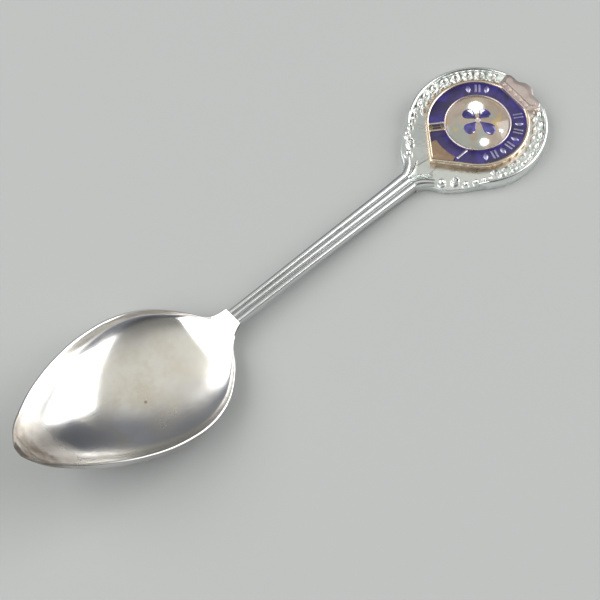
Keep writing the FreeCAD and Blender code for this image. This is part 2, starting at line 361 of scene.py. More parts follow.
def slab(build, outline, z0, z1, bevel, steps=4, bottom_bevel=0.0):
    """Upright prism of a closed outline with a rounded top edge, capped top and bottom."""
    n = len(outline)
    normals = []
    for k in range(n):
        ax, ay = outline[k - 1]
        bx, by = outline[(k + 1) % n]
        dx, dy = bx - ax, by - ay
        size = math.hypot(dx, dy) or 1.0
        normals.append((dy / size, -dx / size))
    area = sum(outline[k - 1][0] * outline[k][1] - outline[k][0] * outline[k - 1][1] for k in range(n))
    s = 1.0 if area > 0 else -1.0
    rings = []

    def ring(inset, z):
        return [(x - s * nx * inset, y - s * ny * inset, z) for (x, y), (nx, ny) in zip(outline, normals)]

    if bottom_bevel > 0:
        for k in range(steps):
            a = math.pi / 2 * k / steps
            rings.append(ring(bottom_bevel * (1 - math.sin(a)), z0 + bottom_bevel * (1 - math.cos(a))))
        rings.append(ring(0, z0 + bottom_bevel))
    else:
        rings.append(ring(0, z0))
    for k in range(steps + 1):
        a = math.pi / 2 * k / steps
        rings.append(ring(bevel * (1 - math.cos(a)), z1 - bevel + bevel * math.sin(a)))
    build.rings(rings, cap_start=True, cap_end=True)


def tube(build, path, widths, heights, z0, sides, lifts):
    """Half-round moulding along a plan path; lifts are the upright sides it stands on above z0."""
    n = len(path)
    rings = []
    for k in range(n):
        ax, ay = path[max(k - 1, 0)]
        bx, by = path[min(k + 1, n - 1)]
        dx, dy = bx - ax, by - ay
        size = math.hypot(dx, dy) or 1.0
        nx, ny = -dy / size, dx / size
        x, y = path[k]
        w = widths[k] / 2.0
        h = heights[k]
        lift = lifts[k]
        ring = []
        for j in range(sides + 1):
            a = math.pi * j / sides
            off = w * math.cos(a)
            ring.append((x + nx * off, y + ny * off, z0 + lift + (h - lift) * math.sin(a)))
        ring.append((x - nx * w, y - ny * w, z0))
        ring.append((x + nx * w, y + ny * w, z0))
        rings.append(ring)
    build.rings(rings, cap_start=True, cap_end=True)


def bead(build, x, y, z, r, h, around=20, rows=7, stretch=1.0, deg=0.0):
    """Round drop of radius r and height h on the level z; stretch lengthens it along deg."""
    rings = []
    for j in range(rows):
        a = math.pi / 2 * j / rows
        level = r * math.cos(a)
        ring = []
        for k in range(around):
            t = 2 * math.pi * k / around
            plan = turned(x, y, level * math.cos(t) * stretch, level * math.sin(t), deg)
            ring.append((*plan, z + h * math.sin(a)))
        rings.append(ring)
    build.rings(rings, cap_start=True)
    start = len(build.verts) - around - 1
    build.verts.append((x, y, z + h))
    tip = len(build.verts) - 1
    for k in range(around):
        build.faces.append((start + k, start + (k + 1) % around, tip))


def teardrop(r, corner):
    """Circle of radius r with one pointed corner towards the stem."""
    arc_points = 96
    side_points = 14
    a = math.acos(r / corner)
    pts = []
    for k in range(arc_points + 1):
        t = math.pi - a - (2 * math.pi - 2 * a) * k / arc_points
        pts.append((HEAD_X + r * math.cos(t), r * math.sin(t)))
    start, end = pts[0], pts[-1]
    tip = (HEAD_X - corner, 0.0)
    for k in range(1, side_points):
        f = k / side_points
        pts.append((end[0] + (tip[0] - end[0]) * f, end[1] + (tip[1] - end[1]) * f))
    pts.append(tip)
    for k in range(1, side_points):
        f = k / side_points
        pts.append((tip[0] + (start[0] - tip[0]) * f, tip[1] + (start[1] - tip[1]) * f))
    return pts


def curve_through(points, per_span):
    """Points along a smooth line through a few plan points."""
    n = len(points)
    out = []
    for i in range(n - 1):
        near = (points[max(i - 1, 0)], points[i], points[i + 1], points[min(i + 2, n - 1)])
        for k in range(per_span):
            t = k / per_span
            out.append(tuple(
                0.5 * (2 * b + (c - a) * t + (2 * a - 5 * b + 4 * c - d) * t * t
                       + (3 * b - a - 3 * c + d) * t ** 3)
                for a, b, c, d in zip(*near)))
    out.append(tuple(points[-1]))
    return out


def smoothstep(a, b, x):
    t = min(max((x - a) / (b - a), 0.0), 1.0)
    return t * t * (3 - 2 * t)


# ------------------------------------------------------------------ material kit

class Nodes:
    """Adds shader nodes to a tree."""

    def __init__(self, tree):
        self.tree = tree

    def add(self, kind):
        return self.tree.nodes.new(kind)

    def link(self, a, b):
        self.tree.links.new(a, b)

    def put(self, socket, value):
        if hasattr(value, "is_output"):
            self.link(value, socket)
        elif isinstance(value, tuple) and len(value) == 3 and socket.type == "RGBA":
            socket.default_value = (*value, 1.0)
        else:
            socket.default_value = value

    def ramp(self, value, a, b, low=0.0, high=1.0):
        """Smooth step from low at a to high at b."""
        n = self.add("ShaderNodeMapRange")
        n.interpolation_type = "SMOOTHSTEP"
        n.inputs["From Min"].default_value = a
        n.inputs["From Max"].default_value = b
        n.inputs["To Min"].default_value = low
        n.inputs["To Max"].default_value = high
        self.link(value, n.inputs["Value"])
        return n.outputs["Result"]

    def math(self, kind, a, b):
        n = self.add("ShaderNodeMath")
        n.operation = kind
        self.put(n.inputs[0], a)
        self.put(n.inputs[1], b)
        return n.outputs[0]

    def vector(self, kind, a, b=None):
        """Vector sum; a length or a dot product comes out as a number."""
        n = self.add("ShaderNodeVectorMath")
        n.operation = kind
        self.link(a, n.inputs[0])
        if b is not None:
            n.inputs[1].default_value = b
        return n.outputs["Value" if kind in ("LENGTH", "DOT_PRODUCT") else "Vector"]

    def mix(self, fac, a, b):
        """Colour a where fac is 0 and colour b where it is 1."""
        n = self.add("ShaderNodeMix")
        n.data_type = "RGBA"
        self.put(n.inputs[0], fac)
        self.put(n.inputs[6], a)
        self.put(n.inputs[7], b)
        return n.outputs[2]


class Material(Nodes):
    """One Principled material, textured in the spoon's own coordinates."""

    INPUTS = {"color": "Base Color", "metal": "Metallic", "rough": "Roughness", "ior": "IOR",
              "coat": "Coat Weight", "coat_rough": "Coat Roughness"}

    def __init__(self, name):
        self.mat = bpy.data.materials.new(name)
        self.mat.use_nodes = True
        super().__init__(self.mat.node_tree)
        self.tree.nodes.clear()
        out = self.add("ShaderNodeOutputMaterial")
        self.shader = self.add("ShaderNodeBsdfPrincipled")
        self.link(self.shader.outputs[0], out.inputs["Surface"])
        self.coords = self.add("ShaderNodeTexCoord").outputs["Object"]

    def set(self, **values):
        for key, value in values.items():
            self.put(self.shader.inputs[self.INPUTS[key]], value)

    def noise(self, scale, detail=4.0, rough=0.55, distortion=0.0, vector=None):
        n = self.add("ShaderNodeTexNoise")
        n.inputs["Scale"].default_value = scale
        n.inputs["Detail"].default_value = detail
        n.inputs["Roughness"].default_value = rough
        n.inputs["Distortion"].default_value = distortion
        self.link(vector or self.coords, n.inputs["Vector"])
        return n.outputs["Fac"]

    def spots(self, scale):
        n = self.add("ShaderNodeTexVoronoi")
        n.inputs["Scale"].default_value = scale
        self.link(self.coords, n.inputs["Vector"])
        return n.outputs["Distance"]

    def stretch(self, scale, turn=0.0, place=(0, 0, 0)):
        """The spoon's coordinates scaled, turned by turn radians and moved."""
        n = self.add("ShaderNodeMapping")
        n.inputs["Scale"].default_value = scale
        n.inputs["Rotation"].default_value = (0, 0, turn)
        n.inputs["Location"].default_value = place
        self.link(self.coords, n.inputs["Vector"])
        return n.outputs["Vector"]

    def near(self, x, y, z, reach, soft, squash=(1, 1, 1)):
        """1 at a point of the spoon, falling to 0 at reach millimetres from it."""
        away = self.vector("SUBTRACT", self.coords, at(x, y, z))
        far = self.vector("LENGTH", self.vector("MULTIPLY", away, squash))
        return self.ramp(far, reach * (1 - soft) * MM, reach * MM, 1.0, 0.0)

    def bump(self, height, strength, distance=0.0001):
        n = self.add("ShaderNodeBump")
        n.inputs["Strength"].default_value = strength
        n.inputs["Distance"].default_value = distance
        self.link(height, n.inputs["Height"])
        if self.shader.inputs["Normal"].is_linked:
            self.link(self.shader.inputs["Normal"].links[0].from_socket, n.inputs["Normal"])
        self.link(n.outputs["Normal"], self.shader.inputs["Normal"])

    def edges(self, spread):
        """Bright on worn edges, dark in grooves, from the shape's own pointiness."""
        shape = self.add("ShaderNodeNewGeometry")
        return self.ramp(shape.outputs["Pointiness"], 0.5 - spread, 0.5 + spread)


def bowl_silver():
    """Polished silver, yellowed in the hollow and brown at the tip, with painted shade darkening the near
    wall.
    """
    m = Material("bowl_silver")
    cloud = m.noise(140, 5, 0.6)
    fine = m.noise(900, 3, 0.6)
    centre = m.near(22, 0, 1.5, 17, 0.75, (0.75, 1.0, 0.5))
    # painted shade: the wall nearest the camera is darkened, standing in for the dark low room it
    # reflects
    near_wall_shade = m.near(19, -14.5, 6, 10, 0.8, (0.42, 1.0, 0.8))
    toe = m.near(2, -1.5, 13.0, 13.5, 0.85)
    patina = m.math("MULTIPLY", centre, m.ramp(cloud, 0.36, 0.64, 0.15, 1.0))
    brown = m.math("MULTIPLY", toe, m.ramp(m.noise(260, 4), 0.30, 0.62, 0.72, 1.0))
    color = m.mix(patina, (0.90, 0.895, 0.88), (0.75, 0.71, 0.62))
    # lay the painted shade on the near wall
    color = m.mix(near_wall_shade, color, (0.55, 0.54, 0.52))
    color = m.mix(brown, color, (0.20, 0.165, 0.13))
    speck = m.ramp(m.spots(210), 0.035, 0.075, 1.0, 0.0)
    speck = m.math("MULTIPLY", speck, m.ramp(m.noise(70, 2), 0.50, 0.62))
    color = m.mix(m.math("MULTIPLY", speck, 0.75), color, (0.30, 0.25, 0.19))
    rough = m.math("ADD", m.ramp(cloud, 0.3, 0.7, 0.16, 0.22), m.math("MULTIPLY", patina, 0.06))
    rough = m.math("ADD", rough, m.math("MULTIPLY", m.math("MULTIPLY", brown, brown), 0.32))
    m.set(color=color, metal=1.0, rough=rough)
    scratch = m.noise(1.0, 3, 0.5, vector=m.stretch((500, 5200, 900), 0.5))
    m.bump(scratch, 0.05)
    m.bump(fine, 0.04)
    return m.mat


def stem_silver():
    """Silver, darker in the grooves than on the worn reeds."""
    m = Material("stem_silver")
    cloud = m.noise(180, 4, 0.6)
    worn = m.edges(0.045)
    color = m.mix(worn, (0.54, 0.56, 0.55), (0.86, 0.865, 0.86))
    color = m.mix(m.ramp(cloud, 0.40, 0.80, 0.0, 0.25), color, (0.74, 0.75, 0.72))
    m.set(color=color, metal=1.0, rough=m.ramp(cloud, 0.3, 0.7, 0.14, 0.24))
    scratch = m.noise(1.0, 2, 0.5, vector=m.stretch((260, 4200, 4200)))
    m.bump(scratch, 0.02)
    return m.mat


def head_silver(name, groove, raised, low, high, grain):
    """Struck silver: grey-green in the hollows, bright where it stands proud."""
    m = Material(name)
    cloud = m.noise(420, 4, 0.6)
    color = m.mix(m.edges(0.06), groove, raised)
    color = m.mix(m.ramp(cloud, 0.40, 0.70, 0.0, 0.5), color, (0.66, 0.72, 0.68))
    m.set(color=color, metal=1.0, rough=m.ramp(cloud, 0.3, 0.7, low, high))
    m.bump(m.noise(1500, 3), grain, 0.00008)
    return m.mat


def gilt_metal(name, bright, deep, rough):
    """Worn gilt or copper: bright on its edges, deep in its hollows."""
    m = Material(name)
    cloud = m.noise(520, 4, 0.6)
    worn = m.edges(0.05)
    color = m.mix(worn, deep, bright)
    color = m.mix(m.ramp(cloud, 0.45, 0.75, 0.0, 0.55), color, deep)
    m.set(color=color, metal=1.0, rough=m.ramp(cloud, 0.3, 0.7, rough, rough + 0.12))
    m.bump(m.noise(1800, 3), 0.12, 0.00006)
    return m.mat


def enamel(name, main, second, scale, coat=1.0, rough=0.12):
    """Glossy enamel in two clouded colours."""
    m = Material(name)
    cloud = m.noise(scale, 4, 0.6, 0.4)
    color = m.mix(m.ramp(cloud, 0.38, 0.66), main, second)
    m.set(color=color, metal=0.0, rough=rough, ior=1.55, coat=coat, coat_rough=0.03)
    m.bump(m.noise(1300, 2), 0.06, 0.00005)
    return m.mat


def cream_enamel():
    """Cream enamel with greenish patches and a little gold showing through."""
    m = Material("cream_enamel")
    cloud = m.noise(260, 4, 0.6, 0.6)
    patch = m.noise(150, 2, 0.5, 0.3, vector=m.stretch((1, 1, 1), 0.0, (0.03, 0.01, 0)))
    color = m.mix(m.ramp(cloud, 0.38, 0.62), (0.33, 0.275, 0.22), (0.27, 0.21, 0.15))
    color = m.mix(m.ramp(patch, 0.52, 0.62, 0.0, 0.8), color, (0.24, 0.27, 0.235))
    streak = m.noise(300, 3, 0.5, 0.2, vector=m.stretch((1, 1, 1), 0.0, (0.07, 0.05, 0)))
    gold = m.ramp(streak, 0.56, 0.64)
    color = m.mix(m.math("MULTIPLY", gold, 0.8), color, (0.38, 0.28, 0.12))
    m.set(color=color, metal=0.0, rough=0.14, ior=1.55, coat=1.0, coat_rough=0.03)
    m.bump(m.noise(1100, 2), 0.06, 0.00005)
    return m.mat


# ------------------------------------------------------------------ bowl and stem

def bowl_piece(material):
    build = Build()
    columns = 44
    rows = 120
    crowding = 0.13
    rim_steps = 5
    least_half = 0.22
    rings = []
    for r in range(rows + 1):
        f = r / rows
        # close rows at both ends, wider ones over the middle
        x = TIP_X + (HEEL_X - TIP_X) * (f - crowding * math.sin(2 * math.pi * f))
        xi = x + NOSE_T * max(0.0, 1.0 - (x - TIP_X) / NOSE_REACH)
        half_o, top_o, low_o = smooth_table(BOWL, x)
        half_i, top_i, low_i = smooth_table(BOWL, xi)
        half_i = max(half_i - RIM_T, least_half)
        low_o = max(low_o - WALL, 0.0)
        depth = (top_i - low_i) * (1.0 - smoothstep(*HEEL_FADE, xi)) * smoothstep(*NOSE_FADE, xi)
        ring = []
        for k in range(columns + 1):
            a = math.pi * k / columns
            ring.append((xi, -half_i * math.cos(a), top_i - depth * math.sin(a) ** FULLNESS))
        for k in range(1, rim_steps):
            t = k / rim_steps
            lift = RIM_CROWN * math.sin(math.pi * t)
            ring.append((xi + (x - xi) * t, half_i + (half_o - half_i) * t,
                         top_i + (top_o - top_i) * t + lift))
        for k in range(columns, -1, -1):
            a = math.pi * k / columns
            ring.append((x, -half_o * math.cos(a), top_o - (top_o - low_o) * math.sin(a) ** FULLNESS))
        for k in range(1, rim_steps):
            t = 1 - k / rim_steps
            lift = RIM_CROWN * math.sin(math.pi * t)
            ring.append((xi + (x - xi) * t, -(half_i + (half_o - half_i) * t),
                         top_i + (top_o - top_i) * t + lift))
        rings.append(ring)
    build.rings(rings)
    tip_cap(build, rings[0], columns, rim_steps)
    build.fan((len(rings) - 1) * len(rings[0]), rings[-1], True)
    build.make("bowl_shell", material, "bowl", sharp=50)


def tip_cap(build, ring, columns, rim_steps):
    """Blunt nose closing the narrow end: a front wall under the rim and a ledge behind it."""
    inner = list(range(columns + 1))
    outer = [columns + rim_steps + k for k in range(columns, -1, -1)]
    side_a = [inner[-1]] + list(range(columns + 1, columns + rim_steps)) + [outer[-1]]
    side_b_start = columns + rim_steps + columns + 1
    side_b = [outer[0]] + list(range(side_b_start, side_b_start + rim_steps - 1)) + [inner[0]]
    top = ring[outer[0]][2]
    edge = [outer[0]]
    for k in range(1, columns):
        edge.append(len(build.verts))
        build.verts.append((ring[outer[k]][0], ring[outer[k]][1], top))
    edge.append(outer[-1])
    for k in range(columns):
        build.faces.append((inner[k], inner[k + 1], edge[k + 1], edge[k]))
        wall = [edge[k], edge[k + 1], outer[k + 1], outer[k]]
        build.faces.append(tuple(dict.fromkeys(wall)))
    build.faces.append(tuple(side_a))
    build.faces.append(tuple(side_b))


def stem_section(x, top, low, pitch):
    """Three rounded reeds with grooves between them, on a bar with rounded edges."""
    half = pitch * 1.5
    base = top - REED_RISE
    steps = 14
    ring = []
    for k in (-1, 0, 1):
        rise = REED_RISE + (MIDDLE_REED_EXTRA if k == 0 else 0.0)
        for j in range(steps + 1):
            if j == 0 and k > -1:
                continue
            a = math.pi * (1 - j / steps)
            inner_side = 0 < (k + 1) * steps + j < 3 * steps
            groove = GROOVE_DROP if inner_side else 0.0
            z = base - groove * (1 - math.sin(a)) + rise * math.sin(a)
            ring.append((x, k * pitch + pitch * 0.5 * math.cos(a), z))
    under = 10
    for j in range(under + 1):
        a = math.pi * j / under
        ring.append((x, half * math.cos(a), low + UNDER_ROUND * (1 - math.sin(a) ** 0.6)))
    return ring


def stem_piece(material):
    build = Build()
    rows = 110
    rings = []
    for r in range(rows + 1):
        x = HEEL_X + (STEM_END - HEEL_X) * r / rows
        top, low, pitch = smooth_table(STEM, x)
        rings.append(stem_section(x, top, low, pitch))
    build.rings(rings, cap_start=True, cap_end=True)
    build.make("stem_bar", material, "stem", sharp=40)


# ------------------------------------------------------------------ head

def head_outline():
    side = curve_through(SHOULDER, 5)
    last_x, last_y = SHOULDER[-1]
    first = math.degrees(math.atan2(last_y, HEAD_X - last_x))
    arc = []
    steps = 120
    for k in range(1, steps):
        arc.append(polar(HEAD_R, first + (360 - 2 * first) * k / steps))
    return side + arc + [(x, -y) for x, y in reversed(side)]


def plate_piece(material):
    build = Build()
    slab(build, head_outline(), 0.0, PLATE_T, 0.16, 4, 0.16)
    build.make("head_disc", material, "head_plate", sharp=50)


def fork_reed_piece(side, material):
    """Outer reed swinging out round the shoulder, and half of the middle reed beside it."""
    name = "fork_reed_" + SIDES[side]
    build = Build()
    crest = STEM_TOP_END - PLATE_T
    for plan, wide, thin, extra, fall in FORK_REEDS:
        path = [(x, side * y) for x, y in curve_through(plan, 6)]
        n = len(path) - 1
        fade = [smoothstep(0.15, 1.0, k / n) for k in range(n + 1)]
        widths = [wide + (thin - wide) * f for f in fade]
        heights = [crest + extra - fall * f for f in fade]
        lifts = [h - REED_RISE * (1 - FORK_LIFT_LOSS * f) for h, f in zip(heights, fade)]
        tube(build, path, widths, heights, PLATE_T, 14, lifts)
    build.make(name + "_looks", material, name, sharp=60)


def rim_arc(build, first, last):
    """Smooth raised line round part of the edge, thinned where it starts beside the shoulder."""
    steps = int(abs(last - first) / 2.0)
    path = [polar(RIM_R, first + (last - first) * k / steps) for k in range(steps + 1)]
    widths = [RIM_W] * (steps + 1)
    heights = [RIM_H] * (steps + 1)
    for k in range(RIM_START_STEPS):
        f = RIM_START + (1 - RIM_START) * k / RIM_START_STEPS
        widths[k] = RIM_W * f
        heights[k] = RIM_H * f
    tube(build, path, widths, heights, PLATE_T, 16, [h * 0.35 for h in heights])


def rim_piece(material):
    build = Build()
    rim_arc(build, RIM_GAP, CROWN_FROM)
    rim_arc(build, 360 - RIM_GAP, CROWN_TO)
    build.make("outer_line", material, "outer_bead_line", sharp=60)


def row_places(start, count, radius):
    """Plan points and angles of the pieces in a row, both sides, clear of the coronet."""
    places = []
    for i in range(count):
        for side in (1, -1):
            deg = 180 - side * (start + i * ROW_STEP)
            if CROWN_FROM - 1 < deg < CROWN_TO + 1:
                continue
            places.append((*polar(radius, deg), deg))
    return places


def bead_row_piece(material):
    build = Build()
    for x, y, deg in row_places(BEAD_START, BEADS_A_SIDE, BEAD_ROW_R):
        bead(build, x, y, PLATE_T, BEAD_R, BEAD_H, 24, 8, BEAD_STRETCH, 90 - deg)
    build.make("bead_row", material, "outer_bead_row", sharp=70)


def leaf(build, x, y, z, size, deg):
    """Small pointed leaf with a raised middle rib; size is its length, width and height."""
    length, width, height = size
    along = 9
    across = 8
    rings = []
    for i in range(along + 1):
        u = -1 + 2 * i / along
        half = width / 2 * (1 - abs(u) ** 1.7) + 0.03
        ring = []
        for j in range(across + 1):
            v = -1 + 2 * j / across
            rib = 1.0 - 0.55 * abs(v)
            h = height * (1 - u * u) ** 0.6 * rib * (1 - abs(v) ** 4) + 0.02
            ring.append((*turned(x, y, u * length / 2, v * half, deg), z + h))
        for edge in (half, -half):
            ring.append((*turned(x, y, u * length / 2, edge, deg), z))
        rings.append(ring)
    build.rings(rings, cap_start=True, cap_end=True)


def leaf_row_piece(material):
    build = Build()
    for x, y, deg in row_places(LEAF_START, LEAVES_A_SIDE, LEAF_ROW_R):
        lean = LEAF_LEAN if deg < 180 else -LEAF_LEAN
        leaf(build, x, y, PLATE_T, LEAF, 90 - deg + lean)
    build.make("leaf_row_looks", material, "leaf_row", sharp=60)


def scroll_piece(side, material):
    """Spiral beside the shoulder with its cluster of beads leading into the rim."""
    name = "scroll_" + SIDES[side]
    build = Build()
    cx, cy = polar(SCROLL_REACH, SCROLL_ANGLE)
    count = 44
    spiral = []
    for k in range(count + 1):
        f = k / count
        r = (SCROLL_R - 0.22) * (1 - 0.62 * f)
        a = math.radians(SCROLL_START) - 2 * math.pi * SCROLL_TURNS * f
        spiral.append((cx + r * math.cos(a), side * (cy + r * math.sin(a))))
    widths = [0.46 - 0.16 * k / count for k in range(count + 1)]
    heights = [0.92 + 0.12 * math.sin(math.pi * k / count) for k in range(count + 1)]
    tube(build, spiral, widths, heights, PLATE_T, 10, [0.5] * (count + 1))
    bead(build, cx, side * cy, PLATE_T, *SCROLL_BEAD)
    for reach, deg, r, h in KNOBS:
        x, y = polar(reach, deg)
        bead(build, x, side * y, PLATE_T, r, h, 28, 9)
    build.make(name + "_looks", material, name, sharp=60)


# ------------------------------------------------------------------ badge

def badge_base_piece(material):
    build = Build()
    slab(build, teardrop(BADGE_R, CORNER), PLATE_T, BASE, 0.10, 3)
    build.make("badge_plate", material, "badge_base", sharp=50)


def wall_ring(build, outer, inner, z0, z1, bevel):
    """Upright wall between two matching closed outlines, rounded along its top."""
    rings = []

    def blend(t, z):
        return [(ox + (ix - ox) * t, oy + (iy - oy) * t, z) for (ox, oy), (ix, iy) in zip(outer, inner)]

    rings.append(blend(0.0, z0))
    for k in range(9):
        a = math.pi * k / 8
        rings.append(blend(0.5 - 0.5 * math.cos(a), z1 - bevel + bevel * math.sin(a)))
    rings.append(blend(1.0, z0))
    build.rings(rings, closed=True)


def badge_edge_piece(material):
    build = Build()
    outer = teardrop(BADGE_R, CORNER)
    inner = teardrop(BADGE_R - EDGE_W, CORNER * (BADGE_R - EDGE_W) / BADGE_R)
    wall_ring(build, outer, inner, BASE, BASE + EDGE_H, 0.17)
    build.make("badge_wall", material, "badge_edge", sharp=60)


def circle(r):
    around = 96
    turns = [2 * math.pi * k / around for k in range(around)]
    return [(HEAD_X + r * math.cos(a), r * math.sin(a)) for a in turns]


def inner_ring_piece(material):
    build = Build()
    wall_ring(build, circle(DISC_R + RING_W), circle(DISC_R), BASE, BASE + EDGE_H, 0.16)
    build.make("inner_wall", material, "inner_ring", sharp=60)


def outer_reach(deg):
    """Distance from the head's centre to the inside of the badge's outer wall."""
    r = BADGE_R - EDGE_W
    corner = CORNER * r / BADGE_R
    a = math.degrees(math.acos(r / corner))
    if off_axis(deg) >= a:
        return r
    return r / math.cos(math.radians(a - off_axis(deg)))


def band_piece(material):
    """Enamel of the band, a little crowned between its two walls, stopping at the tail."""
    build = Build()
    steps = 260
    across = 12
    lap = 0.01
    rings = []
    for k in range(steps):
        deg = 360 * k / steps
        inner = DISC_R + RING_W - lap
        outer = TAIL_IN if off_axis(deg) < TAIL_SPAN else outer_reach(deg) + lap
        ring = []
        for j in range(across + 1):
            t = j / across
            x, y = polar(inner + (outer - inner) * t, deg)
            ring.append((x, y, BASE + ENAMEL_H - 0.06 + 0.10 * math.sin(math.pi * t) ** 0.7))
        ring.append((*polar(outer, deg), BASE))
        ring.append((*polar(inner, deg), BASE))
        rings.append(ring)
    build.rings(rings, closed=True)
    build.make("band_fill", material, "band_enamel", sharp=50)


def tail_piece(material):
    """Coppery fill of the badge's corner, a little crowned."""
    build = Build()
    along = 24
    across = 8
    rings = []
    for k in range(along + 1):
        deg = -TAIL_SPAN + 2 * TAIL_SPAN * k / along
        outer = outer_reach(deg)
        ring = []
        for j in range(across + 1):
            t = j / across
            x, y = polar(TAIL_IN + (outer - TAIL_IN) * t, deg)
            ring.append((x, y, BASE + 0.40 + 0.10 * math.sin(math.pi * t)))
        ring.append((*polar(outer, deg), BASE))
        ring.append((*polar(TAIL_IN, deg), BASE))
        rings.append(ring)
    build.rings(rings, cap_start=True, cap_end=True)
    build.make("tail_fill", material, "strap_tail", sharp=50)


def turned_box(build, x, y, size, z0, z1, deg, bevel=0.07):
    """Upright bar with rounded corners, size long and wide in plan, turned by deg."""
    long, wide = size
    r = min(size) * 0.22
    outline = []
    for sx, sy, start in ((1, 1, 0), (-1, 1, 90), (-1, -1, 180), (1, -1, 270)):
        for k in range(5):
            a = math.radians(start + 90 * k / 4)
            px = sx * (long / 2 - r) + r * math.cos(a)
            py = sy * (wide / 2 - r) + r * math.sin(a)
            outline.append(turned(x, y, px, py, deg))
    slab(build, outline, z0, z1, bevel, 3)


def ornaments_piece(material):
    """Lozenges and pairs of bars in turn round the band, clear of the coronet."""
    build = Build()
    for k in range(ORNAMENTS):
        deg = ORNAMENT_START + k * ORNAMENT_STEP
        if abs(deg - 180) < CROWN_CLEAR:
            continue
        x, y = polar(BAND_MID, deg)
        if k % 2 == 0:
            leaf(build, x, y, BASE + 0.36, FIGURE_LEAF, 180 - deg)
        else:
            for off in (-FIGURE_BAR_OFF, FIGURE_BAR_OFF):
                ox, oy = polar(BAND_MID, deg + math.degrees(off / BAND_MID))
                turned_box(build, ox, oy, FIGURE_BAR, BASE + 0.30, BASE + 0.60, 180 - deg)
    build.make("band_figures", material, "band_ornaments", sharp=50)


def buckle_pieces(bright, gold, dark):
    """Frame of two bars and two ends, its tongue, and the keeper beyond the badge's corner."""
    x, y = polar(BAND_MID, BUCKLE_ANGLE)
    turn = 180 - BUCKLE_ANGLE
    for side, metal, name in ((1, gold, "buckle_bar_low"), (-1, bright, "buckle_bar_high")):
        build = Build()
        middle = turned(x, y, 0, side * BUCKLE_BAR_OFF, turn)
        turned_box(build, *middle, BUCKLE_BAR, BUCKLE_Z, BASE + 0.66, turn, 0.12)
        build.make(name, metal, "buckle_frame", sharp=50)
    build = Build()
    for side in (-1, 1):
        middle = turned(x, y, side * BUCKLE_END_OFF, 0, turn)
        turned_box(build, *middle, BUCKLE_END, BUCKLE_Z, BASE + 0.52, turn)
    build.make("buckle_ends", dark, "buckle_frame", sharp=50)
    build = Build()
    turned_box(build, x, y, BUCKLE_TONGUE, BUCKLE_Z, BASE + 0.56, turn)
    build.make("buckle_tongue_looks", dark, "buckle_tongue", sharp=50)
    build = Build()
    middle = polar(BAND_MID, KEEPER_ANGLE)
    turned_box(build, *middle, KEEPER, BUCKLE_Z, BASE + 0.60, 180 - KEEPER_ANGLE + KEEPER_TURN, 0.12)
    build.make("keeper_looks", bright, "keeper_loop", sharp=50)


def field_height(r):
    """Height of the dome at radius r."""
    big = (DISC_R ** 2 + FIELD_RISE ** 2) / (2 * FIELD_RISE)
    return BASE + FIELD_FOOT + math.sqrt(max(big * big - r * r, 0)) - (big - FIELD_RISE)


def field_piece(material):
    build = Build()
    rings = []
    rows = 26
    for j in range(rows):
        r = DISC_R * (1 - j / rows)
        rings.append([(x, y, field_height(r)) for x, y in circle(r)])
    low = [(x, y, BASE) for x, y, z in rings[0]]
    build.rings([low] + rings, cap_start=True, cap_end=True)
    build.make("centre_dome", material, "centre_field", sharp=50)


def petal_half(u):
    """Half width of a petal at u from its root, 0, to its rounded end, 1."""
    half = PETAL_ROOT_HALF + PETAL_SPREAD * smoothstep(0.0, 0.66, u)
    if u > PETAL_WIDEST:
        half *= math.sqrt(max(1 - ((u - PETAL_WIDEST) / (1 - PETAL_WIDEST)) ** 2, 0.004))
    return half


def petal_piece(material):
    """Four wide petals let into the dome, standing a hair above it."""
    build = Build()
    along = 26
    across = 12
    for direction, reach in PETALS:
        rings = []
        for i in range(along + 1):
            u = i / along
            d = PETAL_ROOT + (reach + 0.15 - PETAL_ROOT) * u
            rise = PETAL_RISE * min(1.0, 10 * u, 10 * (1.02 - u))
            ring = []
            edges = [(-1 + 2 * j / across, True) for j in range(across + 1)] + [(1, False), (-1, False)]
            for v, on_top in edges:
                x, y = turned(0, 0, d, v * petal_half(u), direction + PETAL_TURN)
                lift = rise * (1 - v ** 4) - 0.02 if on_top else -0.15
                ring.append((HEAD_X + x, y, field_height(math.hypot(x, y)) + lift))
            rings.append(ring)
        build.rings(rings, cap_start=True, cap_end=True)
    build.make("petals", material, "flower_petals", sharp=60)


def boss_piece(material):
    build = Build()
    bead(build, HEAD_X, 0.0, field_height(0) - 0.12, 0.60, 0.22, 28, 8)
    build.make("flower_boss", material, "flower_centre", sharp=60)


def crown_place(r, y):
    """Plan point r out from the head's centre along the coronet's own middle line."""
    return turned(HEAD_X, 0.0, r, y, CROWN_TURN)


def rounded(points, reach):
    """Closed outline with each corner drawn round, starting reach before it."""
    steps = 5
    out = []
    n = len(points)
    for i in range(n):
        p, c, q = (Vector(points[(i + k) % n]) for k in (-1, 0, 1))
        before = c + (p - c) * min(reach / (p - c).length, 0.45)
        after = c + (q - c) * min(reach / (q - c).length, 0.45)
        for k in range(steps + 1):
            t = k / steps
            out.append(tuple(before * (1 - t) ** 2 + c * 2 * t * (1 - t) + after * t ** 2))
    return out


def coronet_outline(inset):
    """Straight foot, slanting sides and three rounded points, drawn in from the edge by inset."""
    low = CROWN_IN + (CROWN_FOOT if inset > 0 else 0.0)
    side = CROWN_HALF - inset * 1.3
    point = CROWN_OUT - 0.25 - inset * 2.0
    half = [(low, side * 0.84),
            (CROWN_OUT - 1.80 - inset, side),
            (CROWN_OUT - 1.20 - inset, side * 0.86),
            (CROWN_OUT - 1.25 - inset * 1.3, side * 0.46)]
    pts = [(r, -y) for r, y in half]
    pts.extend([(point, -side * 0.16), (point, side * 0.16)])
    pts.extend(reversed(half))
    return [crown_place(r, y) for r, y in rounded(pts, 0.5)]


